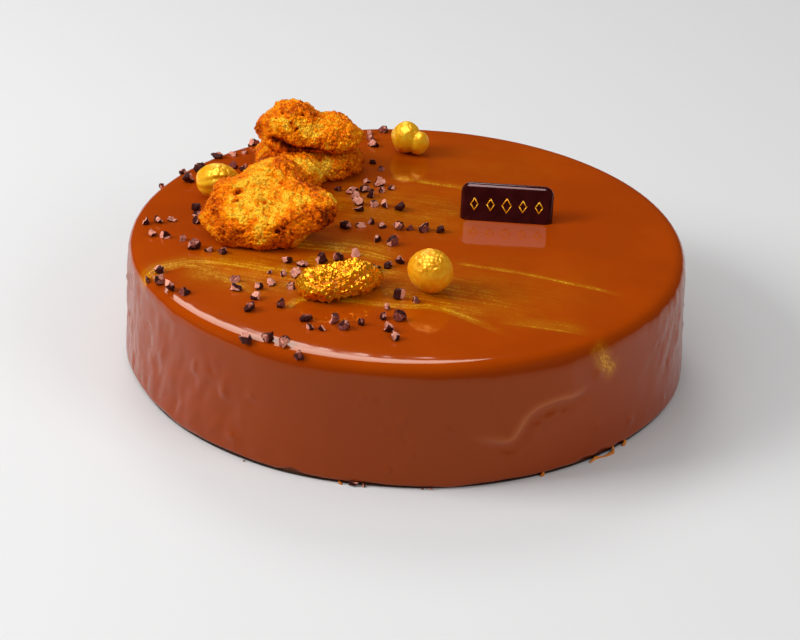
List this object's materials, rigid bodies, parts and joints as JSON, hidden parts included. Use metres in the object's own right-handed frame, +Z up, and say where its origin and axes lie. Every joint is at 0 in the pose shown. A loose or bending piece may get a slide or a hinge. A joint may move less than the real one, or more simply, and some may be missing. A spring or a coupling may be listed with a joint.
{
  "type": "chocolate hazelnut cake",
  "caption": "Round mirror-glazed chocolate hazelnut cake topped with honeycomb, gilded hazelnuts, a gilded praline nugget, cacao nibs and a small chocolate plaque.",
  "frame": {"origin": "middle of the cake's flat underside, on the surface it stands on", "axes": "+Z up, +X to the right and +Y to the back of the cake as the picture shows it"},
  "size_m": [0.1821, 0.1828, 0.0639],
  "materials": {
    "glaze": "mirror-gloss milk chocolate glaze brushed with gold dust",
    "honeycomb": "brittle porous sugar honeycomb, toasted at the edges",
    "gold": "satin edible gold lustre",
    "chocolate": "tempered gloss dark chocolate",
    "cacao": "dry broken cacao nibs with dark husk"
  },
  "bodies": {
    "root": {"glazed_cake": "glaze", "honeycomb_front": "honeycomb", "honeycomb_base": "honeycomb", "honeycomb_top": "honeycomb", "gilded_nugget": "gold", "hazelnut_front": "gold", "hazelnut_left": "gold", "hazelnut_back": "gold", "chocolate_plaque": "chocolate"}
  },
  "joints": []
}
